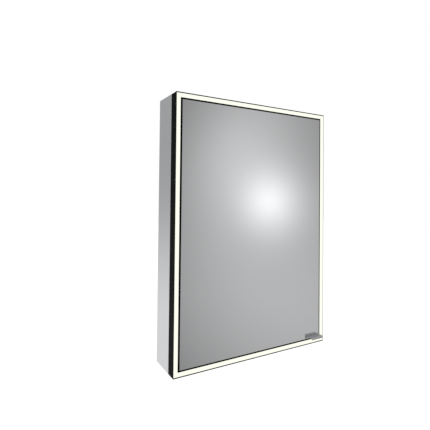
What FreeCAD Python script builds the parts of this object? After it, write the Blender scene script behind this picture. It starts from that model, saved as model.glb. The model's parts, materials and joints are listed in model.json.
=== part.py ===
"""Wall-hung mirror cabinet with a fixed light frame and an inset, pivot-hung mirror door.

Millimetres.  +X is to the right as the user faces the cabinet, +Y goes into the wall, +Z is up.
The wall is the plane y = 0 and the cabinet stands out of it towards -Y.  The origin is the middle
of the wall rail's back face, so the carcass reaches from z = rail_drop - height to z = rail_drop.
"""
import FreeCAD, Part
import math
import os
import re
import Sketcher

doc = FreeCAD.newDocument("MirrorCabinet")
sheet = doc.addObject("Spreadsheet::Sheet", "Sizes")

SIZES = [
    ("width", 500, "outside width"),
    ("height", 700, "outside height"),
    ("depth", 112, "wall to the front of the light frame"),
    ("rail_drop", 55, "wall rail's middle below the cabinet's top"),
    ("wall", 14, "thickness of the carcass profiles and width of the light frame"),
    ("skin", 1.5, "wall of a carcass profile"),
    ("web_front", 55, "middle of the front web, from the wall"),
    ("web_rear", 29, "middle of the rear web, from the wall"),
    ("flange_at", 20, "back of the flange that carries the back panel, from the wall"),
    ("flange_thick", 2, "flange thickness"),
    ("flange_wide", 10, "how far the flange stands into the cabinet"),
    ("frame_deep", 31, "depth of the light frame"),
    ("lip", 2.5, "outer wall of the light frame's top and bottom"),
    ("side_lip", 0.8, "outer wall of the light frame's upright sides"),
    ("inner_lip", 1.6, "inner wall of the light frame"),
    ("band_back", 2, "how far the light band lies behind the front"),
    ("diffuser_thick", 3, "diffuser thickness"),
    ("rim", 1, "width of the diffuser's raised outer rim"),
    ("rim_back", 0.4, "how far that rim lies behind the front"),
    ("ledge", 1, "ledge that the diffuser rests on, how far it stands in"),
    ("ledge_thick", 1.2, "ledge thickness"),
    ("floor_thick", 2, "floor of the light frame's channel"),
    ("slack", 0.1, "clearance of pieces that lie in a channel"),
    ("strip_wide", 8, "light strip width"),
    ("strip_thick", 0.8, "light strip thickness"),
    ("chip_long", 3.5, "light chip, along the strip"),
    ("chip_wide", 2.8, "light chip, across the strip"),
    ("chip_thick", 0.7, "light chip height"),
    ("plate_arm", 38, "arm of a corner plate"),
    ("key_arm", 40, "arm of a carcass corner key"),
    ("back_thick", 1.5, "back panel thickness"),
    ("inside_glass", 3, "thickness of the mirror on the back panel"),
    ("shelf_thick", 5, "glass shelf thickness"),
    ("shelf_deep", 52, "glass shelf depth"),
    ("shelf_gap", 2, "gap at each end of a shelf"),
    ("pin_radius", 2.45, "shelf pin radius"),
    ("pin_out", 7, "how far a shelf pin stands into the cabinet"),
    ("hole_radius", 2.5, "shelf pin hole radius"),
    ("hole_pitch", 32, "distance between shelf pin holes"),
    ("hole_inset", 12, "shelf pins' middle from the front and back edge of a shelf"),
    ("door_gap", 3.1, "gap round the door"),
    ("door_back", 0.7, "how far the door's mirror lies behind the front"),
    ("front_glass", 4, "thickness of the door's front mirror"),
    ("rear_glass", 3, "thickness of the door's rear mirror"),
    ("core", 9, "thickness of the door's frame"),
    ("bar_wide", 26, "width of the door's frame members"),
    ("bar_skin", 1.3, "wall of the door's frame members"),
    ("bar_inset", 1, "door frame and rear mirror, inside the front mirror's edge"),
    ("pivot_in", 19, "pivot axis from the door's left edge"),
    ("pivot_deep", 8.4, "pivot axis behind the door's front"),
    ("pivot_radius", 2, "pivot pin radius"),
    ("bush_bore", 2.05, "bore of the pivot bush"),
    ("bush_radius", 3, "outside radius of the pivot bush"),
    ("bush_long", 13, "how far the bush reaches into the door"),
    ("bush_proud", 1.2, "how far the bush stands out of the door's frame"),
    ("pivot_plate", 1.5, "thickness of the pivot plates"),
    ("plate_left", 12, "pivot plate, left of the pivot axis"),
    ("plate_right", 16, "pivot plate, right of the pivot axis"),
    ("plate_rear", 50, "rear edge of the pivot plates, from the wall"),
    ("pin_long", 14, "length of the pivot pins"),
    ("washer_radius", 4.4, "radius of the pivot washers"),
    ("washer_thick", 0.8, "thickness of the pivot washers"),
    ("block_long", 30, "length of the pivot blocks and of the corner keys in the door's frame"),
    ("plug_long", 12, "length of the plugs in the door's stiles"),
    ("plug_cap", 0.8, "thickness of the caps on those plugs"),
    ("catch_level", 66, "catch, above the bottom panel's inner face"),
    ("catch_wide", 13, "how far the catch stands into the cabinet"),
    ("catch_rise", 22, "half the height of the catch"),
    ("catch_rear", 56, "rear end of the catch, from the wall"),
    ("catch_gap", 1.2, "gap between the catch and the closed door"),
    ("magnet_rise", 16, "half the height of the catch's magnet"),
    ("magnet_rear", 84, "rear end of the magnet, from the wall"),
    ("strike_thick", 0.8, "thickness of the strike plate"),
    ("bumper_level", 30, "bumpers, from the top and bottom panels' inner faces"),
    ("bumper_in", 5, "bumpers, from the side panel's inner face"),
    ("bumper_radius", 4, "radius of the bumpers"),
    ("bracket_front", 86, "front of the bumpers' brackets, from the wall"),
    ("bracket_rear", 74, "rear of the bumpers' brackets, from the wall"),
    ("switch_level", 140, "switch, above the bottom panel's inner face"),
    ("switch_at", 62, "switch's middle, from the wall"),
    ("switch_wide", 12, "half the width of the switch, and its depth"),
    ("switch_rise", 21, "half the height of the switch"),
    ("switch_pivot", 7.5, "rocker's axis, from the side panel's inner face"),
    ("trunnion", 1.5, "radius of the rocker's trunnions"),
    ("handle_left", 180, "left end of the handle, from the middle of the cabinet"),
    ("handle_right", 231.5, "right end of the handle"),
    ("handle_top", 325.4, "top of the handle below the middle of the cabinet"),
    ("handle_base", 6, "height of the handle's flange on the glass"),
    ("handle_nose", 7.6, "height of the handle's nose"),
    ("handle_out", 16, "how far the handle stands out of the mirror"),
    ("handle_skin", 2.6, "thickness of the handle's walls"),
    ("handle_cut", 12.5, "handle's slanted left end, along the nose"),
    ("tape", 0.8, "thickness of the handle's adhesive pad"),
    ("steel", 2, "thickness of the wall rail and the hanger brackets"),
    ("bracket_wide", 40, "width of a hanger bracket"),
    ("bracket_at", 180, "hanger brackets, left and right of the middle"),
    ("bracket_low", 30, "how far a hanger bracket reaches below the rail's middle"),
    ("bracket_top", 24, "top of a hanger bracket above the rail's middle"),
    ("tongue_low", 12, "lower end of a bracket's tongue above the rail's middle"),
    ("tongue_at", 3, "gap between the tongue and the wall"),
    ("rail_long", 440, "wall rail length"),
    ("rail_low", 18, "how far the wall rail reaches below its middle"),
    ("rail_shelf", 10, "level of the rail's shelf above its middle"),
    ("rail_top", 20, "top of the rail's upstand above its middle"),
    ("rail_step", 6, "gap between the rail's upstand and the wall"),
    ("rail_hole", 3, "wall rail's screw hole radius"),
    ("rail_pitch", 300, "distance between the wall rail's screw holes"),
    ("driver_half", 85, "half the length of the driver's case"),
    ("driver_rise", 22, "half the height of the driver's case"),
    ("driver_level", 190, "driver's middle below the rail's middle"),
    ("driver_off", 4, "gap between the driver's case and the wall"),
    ("driver_skin", 1.5, "wall of the driver's case"),
    ("driver_ear", 17, "length of the driver's fixing ears"),
    ("ear_thick", 2, "thickness of the fixing ears"),
    ("post_inset", 9, "posts under the driver's board, from the case's ends"),
    ("post_rise", 14, "posts above and below the driver's middle"),
    ("board_at", 18, "wall side of the driver's board, from the wall"),
    ("board_thick", 1.6, "driver's board thickness"),
    ("junction_at", 160, "junction box's middle, right of the cabinet's middle"),
    ("junction_half", 35, "half the width of the junction box"),
    ("junction_rise", 30, "half the height of the junction box"),
    ("junction_level", 195, "junction box's middle below the rail's middle"),
    ("junction_off", 6, "gap between the junction box and the wall"),
    ("junction_skin", 2, "wall of the junction box"),
    ("junction_ear", 14, "length of the junction box's fixing ears"),
    ("entry_level", 210, "mains cable entry below the rail's middle"),
    ("gland_bore", 4, "mains cable entry radius"),
    ("gland_neck", 6, "radius of the cable gland's neck"),
    ("gland_flange", 7.5, "radius of the cable gland's flange and nut"),
    ("terminal_level", 183, "terminal block below the rail's middle"),
    ("terminal_pitch", 9, "distance between the terminals"),
]
for row, (alias, number, note) in enumerate(SIZES, start=1):
    sheet.set("A%d" % row, note)
    sheet.set("B%d" % row, str(number))
    sheet.setAlias("B%d" % row, alias)
doc.recompute()

# Places that several pieces share, as expressions of the sheet's names.
TOP = "rail_drop"
BOTTOM = "(rail_drop - height)"
MIDDLE = "(rail_drop - height / 2)"
HALF_WIDE = "(width / 2)"
INNER_X = "(width / 2 - wall)"
INNER_Z = "(height / 2 - wall)"
CARCASS_DEEP = "(depth - frame_deep)"
DOOR_X = "(width / 2 - wall - door_gap)"
DOOR_Z = "(height / 2 - wall - door_gap)"
DOOR_FRONT = "(door_back - depth)"
DOOR_CORE = "(door_back - depth + front_glass)"
DOOR_REAR = "(door_back - depth + front_glass + core)"
BACK_FACE = "(0 - flange_at - flange_thick)"
PIVOT_X = "(0 - width / 2 + wall + door_gap + pivot_in)"
PIVOT_Y = "(door_back - depth + pivot_deep)"

VECTOR = {"X": FreeCAD.Vector(1, 0, 0), "Y": FreeCAD.Vector(0, 1, 0), "Z": FreeCAD.Vector(0, 0, 1)}
UP = FreeCAD.Rotation()
nodes = []


def formula(text):
    """The FreeCAD expression for a formula written with the sheet's names."""
    return re.sub(r"[a-z_]+", lambda word: "Sizes." + word.group(), str(text))


def turn(axis, degrees):
    return FreeCAD.Rotation(VECTOR[axis], degrees)


def seat(thing, at, rotation=UP):
    """Put an object at a place that is bound to the sheet."""
    thing.Placement = FreeCAD.Placement(FreeCAD.Vector(), rotation)
    for axis, text in zip("xyz", at):
        thing.setExpression("Placement.Base." + axis, formula(text))
    return thing


def node(name, thing):
    """Name a finished sub-part: its label is its file's name."""
    thing.Label = name
    nodes.append(thing)
    return thing


def block(at, size):
    """A box from its lowest corner and its size."""
    box = doc.addObject("Part::Box", "Block")
    for side, text in zip(("Length", "Width", "Height"), size):
        box.setExpression(side, formula(text))
    return seat(box, at)


def slab(x, y, z):
    """A box from its two limits along each axis."""
    return block([x[0], y[0], z[0]], ["(%s) - (%s)" % (b, a) for a, b in (x, y, z)])


def rod(at, radius, length, axis):
    """A cylinder that starts at a place and runs along +X, +Y, -Y or +Z."""
    turns = {"X": turn("Y", 90), "Y": turn("X", -90), "-Y": turn("X", 90), "Z": UP}
    cylinder = doc.addObject("Part::Cylinder", "Rod")
    cylinder.setExpression("Radius", formula(radius))
    cylinder.setExpression("Height", formula(length))
    return seat(cylinder, at, turns[axis])


def combine(kind, members):
    """Fuse members into one solid ("Part::MultiFuse") or hold separate solids ("Part::Compound")."""
    group = doc.addObject(kind, kind[6:])
    setattr(group, "Links" if kind == "Part::Compound" else "Shapes", members)
    return group


def fuse(members):
    return combine("Part::MultiFuse", members)


def separate(members):
    return combine("Part::Compound", members)


def cut(base, tool):
    result = doc.addObject("Part::Cut", "Cut")
    result.Base, result.Tool = base, tool
    return result


def plane(body, name):
    return [item for item in body.Origin.OriginFeatures if item.Role == name][0]


def sketch_on(body, plane_name, lift=None):
    """A sketch on one of the body's own planes, lifted along its normal if asked."""
    sketch = body.newObject("Sketcher::SketchObject", "Outline")
    sketch.AttachmentSupport = [(plane(body, plane_name), "")]
    sketch.MapMode = "FlatFace"
    if lift:
        sketch.setExpression("AttachmentOffset.Base.z", formula(lift))
    return sketch


def outline(sketch, points):
    """A closed line through points whose coordinates are bound to the sheet."""
    first = sketch.GeometryCount
    count = len(points)
    ring = [FreeCAD.Vector(math.cos(2 * math.pi * i / count), math.sin(2 * math.pi * i / count), 0)
            for i in range(count)]
    for i in range(count):
        sketch.addGeometry(Part.LineSegment(ring[i], ring[(i + 1) % count]))
    for i in range(count):
        sketch.addConstraint(Sketcher.Constraint("Coincident", first + i, 2, first + (i + 1) % count, 1))
    for i, point in enumerate(points):
        for kind, text, start in zip(("DistanceX", "DistanceY"), point, ring[i]):
            number = sketch.addConstraint(Sketcher.Constraint(kind, -1, 1, first + i, 1, start))
            sketch.setExpression("Constraints[%d]" % number, formula(text))


def circle(sketch, x, y, radius):
    """A circle whose place and radius are bound to the sheet."""
    item = sketch.addGeometry(Part.Circle(FreeCAD.Vector(1, 1, 0), FreeCAD.Vector(0, 0, 1), 1))
    limits = (("DistanceX", x, (-1, 1, item, 3)), ("DistanceY", y, (-1, 1, item, 3)),
              ("Radius", radius, (item,)))
    for kind, text, target in limits:
        number = sketch.addConstraint(Sketcher.Constraint(kind, *target, 1))
        sketch.setExpression("Constraints[%d]" % number, formula(text))


def rectangle(x, y):
    return [(x[0], y[0]), (x[1], y[0]), (x[1], y[1]), (x[0], y[1])]


def profile(name, loops, length, plane_name="YZ_Plane"):
    """A body padded equally both ways from a section."""
    body = doc.addObject("PartDesign::Body", name)
    section = sketch_on(body, plane_name)
    for loop in loops:
        outline(section, loop)
    pad = body.newObject("PartDesign::Pad", "Pad")
    pad.Profile = section
    pad.SideType = "Symmetric"
    pad.setExpression("Length", formula(length))
    section.Visibility = False
    return body


def pocket(body, plane_name, loops, lift=None, deep=None):
    """Cut closed outlines right through a body, or to a depth below the lifted sketch."""
    shape = sketch_on(body, plane_name, lift)
    for loop in loops:
        outline(shape, loop)
    return pocket_from(body, shape, deep)


def pocket_from(body, shape, deep=None):
    hole = body.newObject("PartDesign::Pocket", "Pocket")
    hole.Profile = shape
    if deep:
        hole.setExpression("Length", formula(deep))
    else:
        hole.Type = "ThroughAll"
        hole.SideType = "Symmetric"
    shape.Visibility = False
    return hole


def mitre(body, length, reach):
    """Cut both ends of a profile that lies along X at 45 degrees, for a reach towards +Z."""
    end = "(%s / 2)" % length
    right = [(end, "0"), (end + " + 1", "0"), (end + " + 1", reach), ("%s - %s" % (end, reach), reach)]
    left = [("0 - (%s)" % x, y) for x, y in right]
    pocket(body, "XZ_Plane", [right, left])
    return body


# The four sides of the cabinet: name, length of the side, turn about Y and place of its outer face.
SIDES = [
    ("bottom", "width", 0, ("0", "0", BOTTOM)),
    ("left", "height", 90, ("0 - width / 2", "0", MIDDLE)),
    ("top", "width", 180, ("0", "0", TOP)),
    ("right", "height", -90, ("width / 2", "0", MIDDLE)),
]


def countersunk(at, head, shank, length, axis):
    """A countersunk screw whose head's face lies at a place; the shank runs along the axis."""
    turns = {"X": turn("Y", 90), "-X": turn("Y", -90), "Y": turn("X", -90), "-Y": turn("X", 90),
             "Z": UP, "-Z": turn("X", 180)}
    cone = doc.addObject("Part::Cone", "Head")
    cone.Radius1, cone.Radius2, cone.Height = head, shank, head - shank
    cylinder = doc.addObject("Part::Cylinder", "Shank")
    cylinder.Radius, cylinder.Height = shank, length
    for piece in (cone, cylinder):
        seat(piece, at, turns[axis])
    return fuse([cone, cylinder])


# ---------------------------------------------------------------- carcass

def carcass_section():
    """Hollow profile: three chambers, and a flange for the back panel."""
    front = "0 - " + CARCASS_DEEP
    near, far = BACK_FACE, "0 - flange_at"
    outer = [(front, "0"), ("0", "0"), ("0", "wall"), (far, "wall"), (far, "wall + flange_wide"),
             (near, "wall + flange_wide"), (near, "wall"), (front, "wall")]
    depths = [(front + " + skin", "0 - web_front - skin / 2"),
              ("0 - web_front + skin / 2", "0 - web_rear - skin / 2"),
              ("0 - web_rear + skin / 2", "0 - skin")]
    return [outer] + [rectangle(depth, ("skin", "wall - skin")) for depth in depths]


HOLE_ROWS = 17
SHELF_FRONT = "(0 - flange_at - flange_thick - back_thick - inside_glass - 1 - shelf_deep)"
PIN_DEPTHS = ["%s + hole_inset" % SHELF_FRONT, "%s + shelf_deep - hole_inset" % SHELF_FRONT]


def shelf_holes(body):
    """Two rows of shelf pin holes through the inner wall of a side profile."""
    shape = sketch_on(body, "XY_Plane", "wall")
    for depth in PIN_DEPTHS:
        circle(shape, "0 - hole_pitch * %s" % ((HOLE_ROWS - 1) / 2), depth, "hole_radius")
    first = pocket_from(body, shape, "skin * 2")
    rows = body.newObject("PartDesign::LinearPattern", "Rows")
    rows.Originals = [first]
    rows.Direction = (plane(body, "X_Axis"), [""])
    rows.Occurrences = HOLE_ROWS
    rows.setExpression("Length", formula("hole_pitch * %d" % (HOLE_ROWS - 1)))
    body.Tip = rows


FLOOR = "(0 - depth + frame_deep - floor_thick)"


def channel_section(lip):
    """The light frame's channel, open to the front, with a ledge on each wall for the diffuser."""
    front = "0 - depth"
    rest = front + " + band_back + diffuser_thick"
    under = rest + " + ledge_thick"
    inner = "wall - inner_lip"
    return [(front, "0"), (front + " + frame_deep", "0"), (front + " + frame_deep", "wall"),
            (front + " + band_back", "wall"), (front + " + band_back", inner),
            (rest, inner), (rest, inner + " - ledge"), (under, inner + " - ledge"), (under, inner),
            (FLOOR, inner), (FLOOR, lip),
            (under, lip), (under, lip + " + ledge"), (rest, lip + " + ledge"), (rest, lip), (front, lip)]


# Screws that hold the light frame on the carcass, at these shares of each side's half length,
# and the radii of each kind of screw's head and shank.
FRAME_SCREWS = (-0.6, 0.6)
SMALL_SCREW = (2.8, 1.5)
PLATE_SCREW = (3.2, 1.75)
LARGE_SCREW = (3.4, 1.9)
frame_screws = []
panels = {}
frames = {}
for side, length, angle, place in SIDES:
    panel = mitre(profile("Carcass", carcass_section(), length), length, "(wall + flange_wide)")
    if length == "height":
        shelf_holes(panel)
    panels[side] = seat(panel, place, turn("Y", angle))

    channel = channel_section("side_lip" if length == "height" else "lip")
    frame = mitre(profile("Frame", [channel], length), length, "wall")
    frames[side] = seat(frame, place, turn("Y", angle))

    for share in FRAME_SCREWS:
        along = "%s / 2 * %s" % (length, share)
        x, z = {"bottom": (along, BOTTOM + " + wall / 2"), "top": (along, TOP + " - wall / 2"),
                "left": ("0 - width / 2 + wall / 2", MIDDLE + " + " + along),
                "right": ("width / 2 - wall / 2", MIDDLE + " + " + along)}[side]
        frame_screws.append(countersunk((x, FLOOR, z), *SMALL_SCREW, 10, "Y"))

frame_screws = node("frame_screws", separate(frame_screws))


def corner_angle(corner_x, corner_z, depth, low, high, arm):
    """An L in a corner: across it reaches from low to high, measured from the outer faces."""
    pieces = []
    for first, second in (((low, arm), (low, high)), ((low, high), (low, arm))):
        x = ["%s * (width / 2 - (%s))" % (corner_x, value) for value in first]
        z = ["%s + %s * (height / 2 - (%s))" % (MIDDLE, corner_z, value) for value in second]
        if corner_x > 0:
            x.reverse()
        if corner_z > 0:
            z.reverse()
        pieces.append(slab(x, depth, z))
    return fuse(pieces)


CORNERS = [(-1, -1), (1, -1), (1, 1), (-1, 1)]
node("frame_corner_plates", separate([
    corner_angle(cx, cz, ("%s - 2" % FLOOR, FLOOR), "lip + slack", "wall - inner_lip - slack", "plate_arm")
    for cx, cz in CORNERS]))

# ---------------------------------------------------------------- light

def ring(depth, outer, inner):
    """A closed ring between two rectangles about the cabinet's middle, given by their half sizes."""
    slabs = []
    for (half_x, half_z), grow in ((outer, 0), (inner, 1)):
        slabs.append(slab(("0 - (%s)" % half_x, half_x),
                          ("%s - %d" % (depth[0], grow), "%s + %d" % (depth[1], grow)),
                          ("%s - (%s)" % (MIDDLE, half_z), "%s + (%s)" % (MIDDLE, half_z))))
    return cut(*slabs)


# The diffuser is a flat ring with a raised rim along the frame's outer walls.
BAND_FRONT = "(0 - depth + band_back)"
band_outer = ("width / 2 - side_lip - slack", "height / 2 - lip - slack")
rim_inner = tuple(half + " - rim" for half in band_outer)
band_inner = tuple(half + " + inner_lip + slack" for half in (INNER_X, INNER_Z))
flat = ring((BAND_FRONT, BAND_FRONT + " + diffuser_thick"), band_outer, band_inner)
raised = ring(("0 - depth + rim_back", BAND_FRONT), band_outer, rim_inner)
node("light_diffuser", fuse([flat, raised]))


def beside(side, across, depth, along):
    """A slab in one side's channel: across is measured from the outer face, along from the side's middle."""
    sign = 1 if side in ("right", "top") else -1
    half, centre = ("height / 2", MIDDLE) if side in ("bottom", "top") else (HALF_WIDE, "0")
    cross = ["%s + %d * (%s - (%s))" % (centre, sign, half, value) for value in across]
    if sign > 0:
        cross.reverse()
    if side in ("bottom", "top"):
        return slab(along, depth, cross)
    return slab(cross, depth, ["%s + (%s)" % (MIDDLE, value) for value in along])


CHIP_PITCH = 25
STRIP_END = "plate_arm - 4"
strips, chips = [], []
for side, length, angle, place in SIDES:
    half = "(%s / 2 - %s)" % (length, STRIP_END)
    across = ["wall / 2 %s strip_wide / 2" % sign for sign in "-+"]
    strips.append(beside(side, across, (FLOOR + " - strip_thick", FLOOR), ("0 - " + half, half)))
    count = int((sheet.get(length) - 2 * sheet.get("plate_arm")) // CHIP_PITCH)
    across = ["wall / 2 %s chip_wide / 2" % sign for sign in "-+"]
    depth = (FLOOR + " - strip_thick - chip_thick", FLOOR + " - strip_thick")
    for i in range(count):
        middle = (i - (count - 1) / 2) * CHIP_PITCH
        chips.append(beside(side, across, depth, ["%s %s chip_long / 2" % (middle, sign) for sign in "-+"]))
node("light_strips", separate(strips))
node("light_chips", separate(chips))

# ---------------------------------------------------------------- back panel and wall fixing

BACK_FRONT = "(%s - back_thick)" % BACK_FACE
SCREW_IN = 5
panel_screws = []
for share in (-0.8, 0, 0.8):
    for edge in (-1, 1):
        spots = [("%d * (%s - %d)" % (edge, INNER_X, SCREW_IN), "%s + %s * %s" % (MIDDLE, share, INNER_Z)),
                 ("%s * %s" % (share, INNER_X), "%s + %d * (%s - %d)" % (MIDDLE, edge, INNER_Z, SCREW_IN))]
        panel_screws += [countersunk((x, BACK_FRONT, z), *SMALL_SCREW, 6, "Y") for x, z in spots]
panel_screws = node("panel_screws", separate(panel_screws))

BRACKET_X = ("0 - bracket_at", "bracket_at")
HANGER_LEVELS = (-22, -8, 8)
hanger_screws = node("hanger_screws", separate([
    countersunk((x, BACK_FRONT, str(z)), *LARGE_SCREW, 6, "Y") for x in BRACKET_X for z in HANGER_LEVELS]))

DRIVER_Z = "(0 - driver_level)"
DRIVER_SCREWS = ("driver_half + driver_ear - 7", 15)
JUNCTION_Z = "(0 - junction_level)"
JUNCTION_SCREW = "junction_half + junction_ear / 2"
box_spots = [("%d * (%s)" % (sign, DRIVER_SCREWS[0]), "%s + %d" % (DRIVER_Z, lift * DRIVER_SCREWS[1]))
             for sign in (-1, 1) for lift in (-1, 1)]
box_spots += [("junction_at + %d * (%s)" % (sign, JUNCTION_SCREW), JUNCTION_Z) for sign in (-1, 1)]
box_screws = node("box_screws", separate([
    countersunk((x, BACK_FRONT, z), *SMALL_SCREW, 5, "Y") for x, z in box_spots]))

back_sheet = slab(("0 - %s + 0.5" % INNER_X, "%s - 0.5" % INNER_X), (BACK_FRONT, BACK_FACE),
                  ("%s - %s + 0.5" % (MIDDLE, INNER_Z), "%s + %s - 0.5" % (MIDDLE, INNER_Z)))
node("back_panel", cut(back_sheet, separate([panel_screws, hanger_screws, box_screws])))
node("inside_mirror", slab(("0 - %s + 1" % INNER_X, "%s - 1" % INNER_X),
                           (BACK_FRONT + " - inside_glass", BACK_FRONT),
                           ("%s - %s + 1" % (MIDDLE, INNER_Z), "%s + %s - 1" % (MIDDLE, INNER_Z))))

# Each hanger bracket is a plate on the back panel whose top folds over and down behind the rail's upstand.
hook = [(BACK_FACE, "0 - bracket_low"), (BACK_FACE + " + steel", "0 - bracket_low"),
        (BACK_FACE + " + steel", "bracket_top - steel"), ("0 - tongue_at - steel", "bracket_top - steel"),
        ("0 - tongue_at - steel", "tongue_low"), ("0 - tongue_at", "tongue_low"),
        ("0 - tongue_at", "bracket_top"), (BACK_FACE, "bracket_top")]
hooks = [seat(profile("Hook", [hook], "bracket_wide"), (x, "0", "0")) for x in BRACKET_X]
node("hanger_brackets", cut(separate(hooks), hanger_screws))

rail_section = [("0", "0 - rail_low"), ("0", "rail_shelf"), ("0 - rail_step", "rail_shelf"),
                ("0 - rail_step", "rail_top"), ("0 - rail_step - steel", "rail_top"),
                ("0 - rail_step - steel", "rail_shelf - steel"), ("0 - steel", "rail_shelf - steel"),
                ("0 - steel", "0 - rail_low")]
rail = profile("WallRail", [rail_section], "rail_long")
rail_holes = sketch_on(rail, "XZ_Plane")
for sign in (-1, 1):
    circle(rail_holes, "%d * rail_pitch / 2" % sign, "0", "rail_hole")
pocket_from(rail, rail_holes)
node("wall_rail", seat(rail, ("0", "0", "0")))

# ---------------------------------------------------------------- electrical boxes behind the back panel

def housing(x, rear, z, thick, ear):
    """The members of a box that is open towards the back panel, with an ear at each end to screw it down by."""
    hollow = slab(("%s + %s" % (x[0], thick), "%s - %s" % (x[1], thick)),
                  (BACK_FACE + " - 1", "%s - %s" % (rear, thick)),
                  ("%s + %s" % (z[0], thick), "%s - %s" % (z[1], thick)))
    ears = [slab((low, high), (BACK_FACE, BACK_FACE + " + ear_thick"), z)
            for low, high in (("%s - %s" % (x[0], ear), x[0]), (x[1], "%s + %s" % (x[1], ear)))]
    return [cut(slab(x, (BACK_FACE, rear), z), hollow)] + ears


driver = housing(("0 - driver_half", "driver_half"), "(0 - driver_off)",
                 (DRIVER_Z + " - driver_rise", DRIVER_Z + " + driver_rise"), "driver_skin", "driver_ear")
POST_LONG = "board_at - driver_off - driver_skin + 0.1"
posts = []
for sign in (-1, 1):
    for lift in (-1, 1):
        across = "%d * (driver_half - post_inset)" % sign
        level = "%s + %d * post_rise" % (DRIVER_Z, lift)
        posts.append(rod((across, "0 - board_at", level), "3", POST_LONG, "Y"))
node("driver_case", cut(fuse(driver + posts), box_screws))

# The board's parts stand towards the wall: middle, half length, height and half width of each block.
BOARD_BLOCKS = ((-15, 15, 11, 13), (28, 8, 10, 9))
CAPACITORS = (-60, -45, 60)
board_parts = [slab(("5 - driver_half", "driver_half - 5"), ("0 - board_at - board_thick", "0 - board_at"),
                    (DRIVER_Z + " - driver_rise + 4", DRIVER_Z + " + driver_rise - 4"))]
for middle, half, tall, rise in BOARD_BLOCKS:
    board_parts.append(slab((str(middle - half), str(middle + half)),
                            ("0 - board_at", "0 - board_at + %d" % tall),
                            ("%s - %d" % (DRIVER_Z, rise), "%s + %d" % (DRIVER_Z, rise))))
board_parts += [rod((str(x), "0 - board_at", DRIVER_Z), "5", "10", "Y") for x in CAPACITORS]
node("driver_board", fuse(board_parts))

# The mains cable comes straight out of the wall into the back of the junction box, through its gland.
ENTRY_Z = "(0 - entry_level)"
junction = housing(("junction_at - junction_half", "junction_at + junction_half"), "(0 - junction_off)",
                   (JUNCTION_Z + " - junction_rise", JUNCTION_Z + " + junction_rise"),
                   "junction_skin", "junction_ear")


def entry_rod(front, radius, length):
    """A cylinder on the cable's axis that starts at a distance from the wall and runs towards the wall."""
    return rod(("junction_at", "0 - (%s)" % front, ENTRY_Z), radius, length, "Y")


entry = entry_rod("junction_off + junction_skin + 1", "gland_neck", "junction_skin + 2")
node("junction_box", cut(fuse(junction), separate([box_screws, entry])))
gland = fuse([entry_rod("junction_off", "gland_flange", "3"),
              entry_rod("junction_off + junction_skin", "gland_neck", "junction_skin"),
              entry_rod("junction_off + junction_skin + 2", "gland_flange", "2")])
node("cable_gland", cut(gland, entry_rod("junction_off + junction_skin + 3", "gland_bore", "9")))

TERMINAL_Z = "(0 - terminal_level)"
TERMINALS = ["junction_at + %d * terminal_pitch" % place for place in (-1, 0, 1)]
terminal_holes = [rod((x, "0 - 10", TERMINAL_Z), "1.9", "9", "-Y") for x in TERMINALS]
block_body = slab(("junction_at - 15", "junction_at + 15"), (BACK_FACE, "0 - 12"),
                  (TERMINAL_Z + " - 10", TERMINAL_Z + " + 10"))
node("terminal_block", cut(block_body, separate(terminal_holes)))
node("terminal_screws", separate([rod((x, "0 - 14", TERMINAL_Z), "1.8", "4", "-Y") for x in TERMINALS]))

# ---------------------------------------------------------------- shelves

SHELF_ROWS = (("shelf_bottom", 3), ("shelf_middle", 8), ("shelf_top", 13))
shelf_pins = []
for name, hole_row in SHELF_ROWS:
    pin_z = "%s + hole_pitch * %s" % (MIDDLE, hole_row - (HOLE_ROWS - 1) / 2)
    base = "(%s + pin_radius)" % pin_z
    ends = ("0 - %s + shelf_gap" % INNER_X, "%s - shelf_gap" % INNER_X)
    node(name, slab(ends, (SHELF_FRONT, "%s + shelf_deep" % SHELF_FRONT), (base, base + " + shelf_thick")))
    for side in (-1, 1):
        for depth in PIN_DEPTHS:
            start = "%d * %s" % (side, INNER_X)
            peg = rod((start + (" - skin" if side < 0 else " - pin_out"), depth, pin_z),
                      "pin_radius", "skin + pin_out", "X")
            low, high = (start, start + " + 1.6") if side < 0 else (start + " - 1.6", start)
            collar = slab((low, high), ("%s - 4" % depth, "%s + 4" % depth),
                          ("%s - 4" % pin_z, "%s + 2.4" % pin_z))
            shelf_pins.append(fuse([peg, collar]))
node("shelf_pins", separate(shelf_pins))

# ---------------------------------------------------------------- fixed half of the pivot hinges

PLATE_SCREWS = (-74, -58)
plate_screws, plates, washers, pins = [], {}, [], []
for end, sign in (("bottom", -1), ("top", 1)):
    face = "(%s + %d * %s)" % (MIDDLE, sign, INNER_Z)
    under = "(%s - %d * pivot_plate)" % (face, sign)
    level = (face, under) if sign < 0 else (under, face)
    plates[end] = slab(("%s - plate_left" % PIVOT_X, "%s + plate_right" % PIVOT_X),
                       (BAND_FRONT + " + 1", "0 - plate_rear"), level)
    for y in PLATE_SCREWS:
        spot = ("%s + 2" % PIVOT_X, str(y), under)
        plate_screws.append(countersunk(spot, *PLATE_SCREW, 8, "Z" if sign > 0 else "-Z"))
    low = "%s - pin_long" % face if sign > 0 else face
    pins.append(rod((PIVOT_X, PIVOT_Y, low), "pivot_radius", "pin_long", "Z"))
    washer_low = "%s - washer_thick" % under if sign > 0 else under
    washers.append(cut(rod((PIVOT_X, PIVOT_Y, washer_low), "washer_radius", "washer_thick", "Z"),
                       rod((PIVOT_X, PIVOT_Y, "%s - 1" % washer_low), "pivot_radius", "washer_thick + 2", "Z")))
plate_screws = node("pivot_plate_screws", separate(plate_screws))
pivot_pins = node("pivot_pins", separate(pins))
node("pivot_washers", separate(washers))
plate_tools = separate([plate_screws, pivot_pins])
for end in plates:
    node("pivot_plate_" + end, cut(plates[end], plate_tools))

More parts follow.
